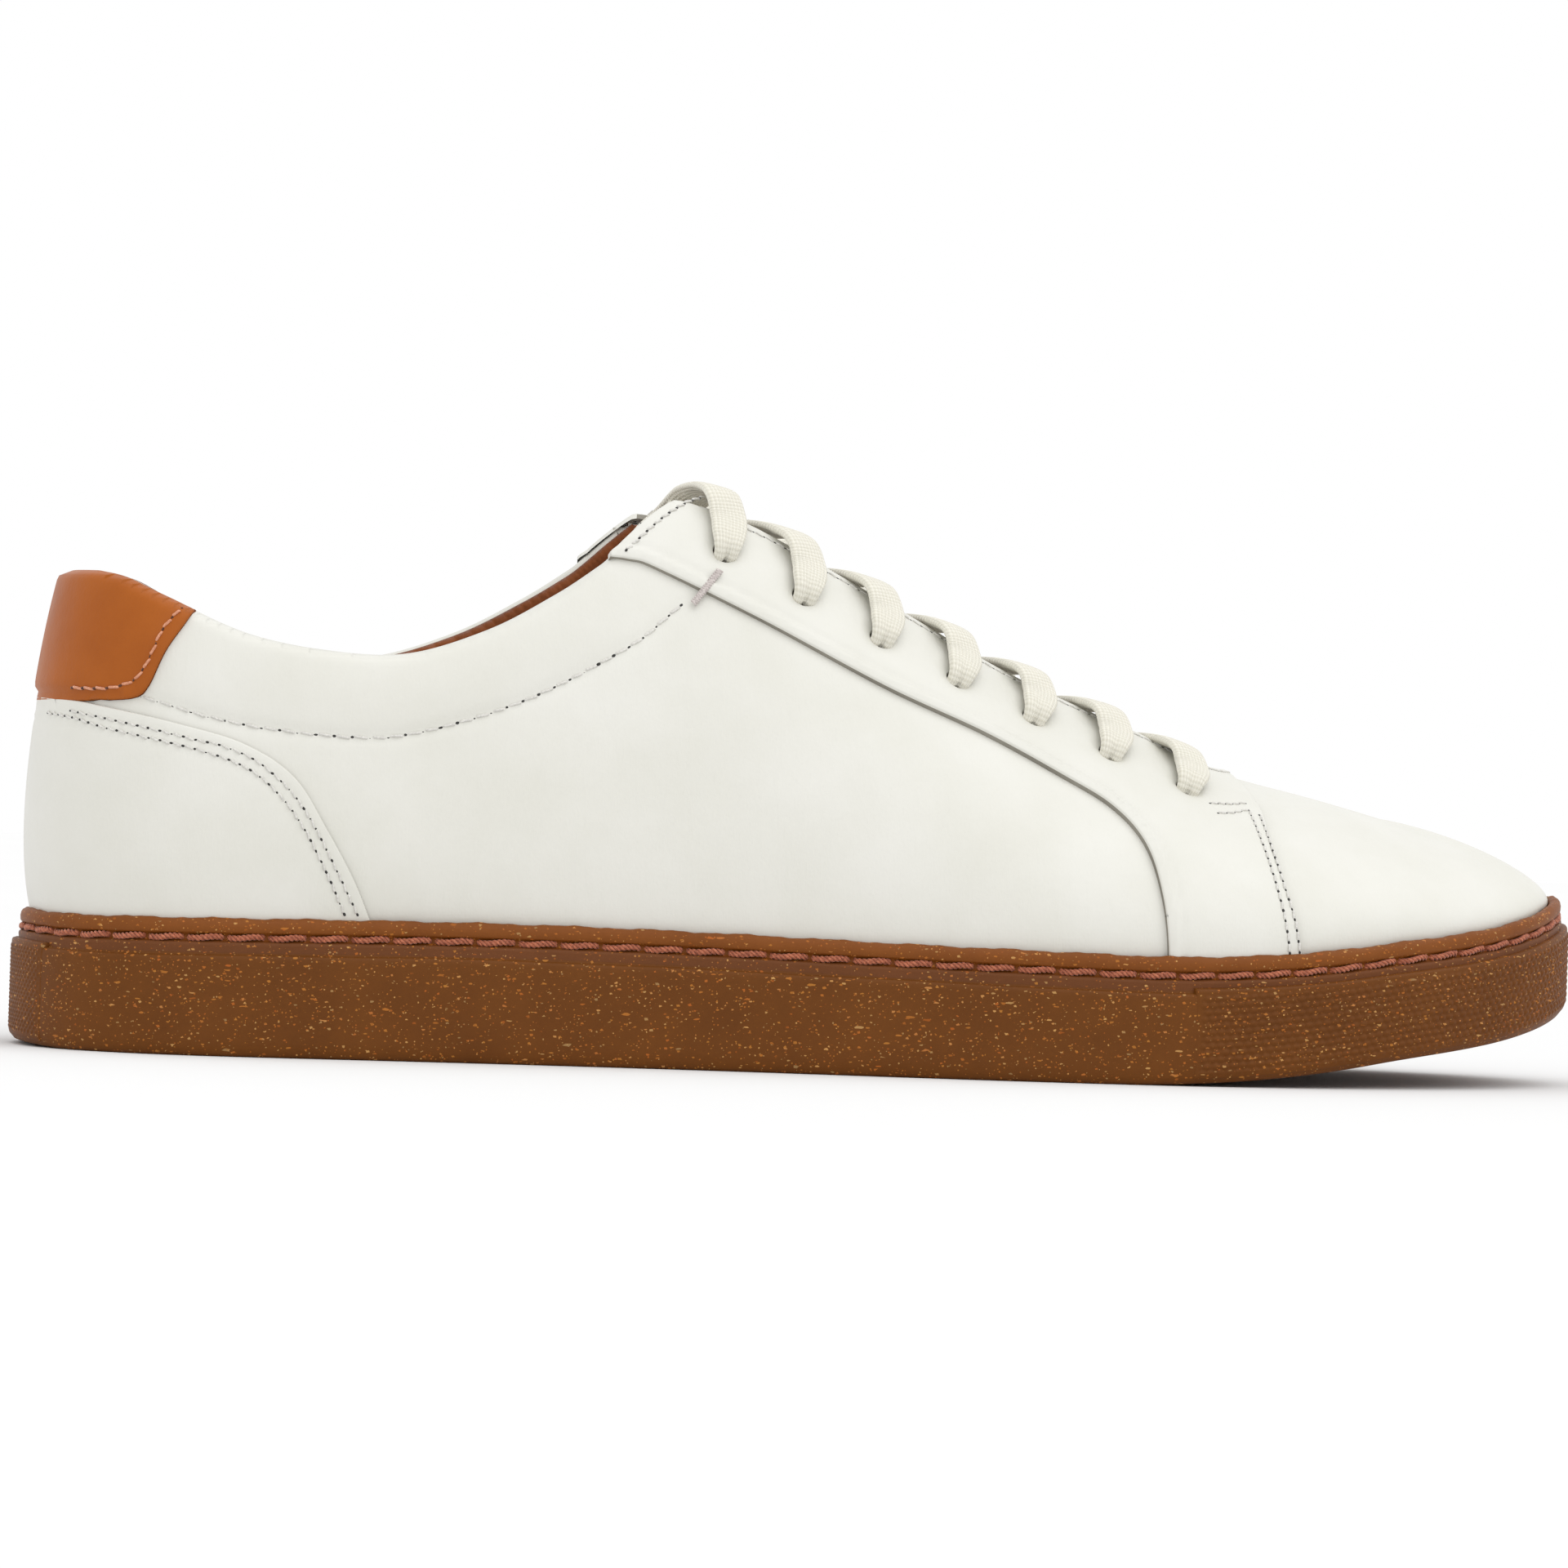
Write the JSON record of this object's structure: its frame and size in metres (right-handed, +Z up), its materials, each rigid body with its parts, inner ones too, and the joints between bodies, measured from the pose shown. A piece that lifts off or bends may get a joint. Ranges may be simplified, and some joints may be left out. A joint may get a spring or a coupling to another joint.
{
  "type": "court shoe",
  "caption": "Low-top leather court sneaker for the right foot on a flecked gum cupsole, with a padded collar and laced throat.",
  "frame": {"origin": "centre of the sole's outline box, on the ground", "axes": "+X to the toe, -Y to the outer (lateral) side, +Z up"},
  "size_m": [0.3002, 0.1036, 0.1099],
  "materials": {
    "white_leather": "smooth full-grain leather, satin",
    "tan_leather": "smooth vegetable-tan leather, satin",
    "brown_lining": "brushed lining leather, matt",
    "gum_rubber": "moulded gum rubber with light flecks, matt",
    "rope_thread": "waxed twisted sole thread",
    "upper_thread": "bonded sewing thread",
    "lace_cotton": "flat woven cotton lace",
    "clear_tip": "shrunk plastic lace tip",
    "stiffener_board": "resin-set fibre sheet",
    "foam": "open-cell foam",
    "cork_foam": "dense foam",
    "fibre_board": "cellulose insole board"
  },
  "bodies": {
    "shoe": {"cupsole": "gum_rubber", "sidewall_stitch": "rope_thread", "midsole_filler": "foam", "insole_board": "fibre_board", "footbed_foam": "cork_foam", "footbed_cover": "brown_lining", "toe_vamp": "white_leather", "quarter_lateral": "white_leather", "quarter_medial": "white_leather", "eyestay_lateral": "white_leather", "eyestay_medial": "white_leather", "eyelet_reinforcement_lateral": "stiffener_board", "eyelet_reinforcement_medial": "stiffener_board", "counter_overlay": "white_leather", "heel_tab": "tan_leather", "heel_counter_stiffener": "stiffener_board", "collar_foam": "foam", "toe_puff": "stiffener_board", "heel_lining": "brown_lining", "quarter_lining_lateral": "brown_lining", "quarter_lining_medial": "brown_lining", "vamp_lining": "brown_lining", "lace": "lace_cotton", "aglet_lateral": "clear_tip", "aglet_medial": "clear_tip", "bartack_lateral": "upper_thread", "bartack_medial": "upper_thread"},
    "tongue": {"tongue_leather": "white_leather", "tongue_padding": "foam", "tongue_lining": "brown_lining"}
  },
  "joints": [
    {"name": "tongue_hinge", "type": "hinge", "parent": "shoe", "child": "tongue", "pos_m": [0.07588, 0.00593, 0.05], "axis": [0, -1, 0], "range_deg": [0, 14]}
  ]
}
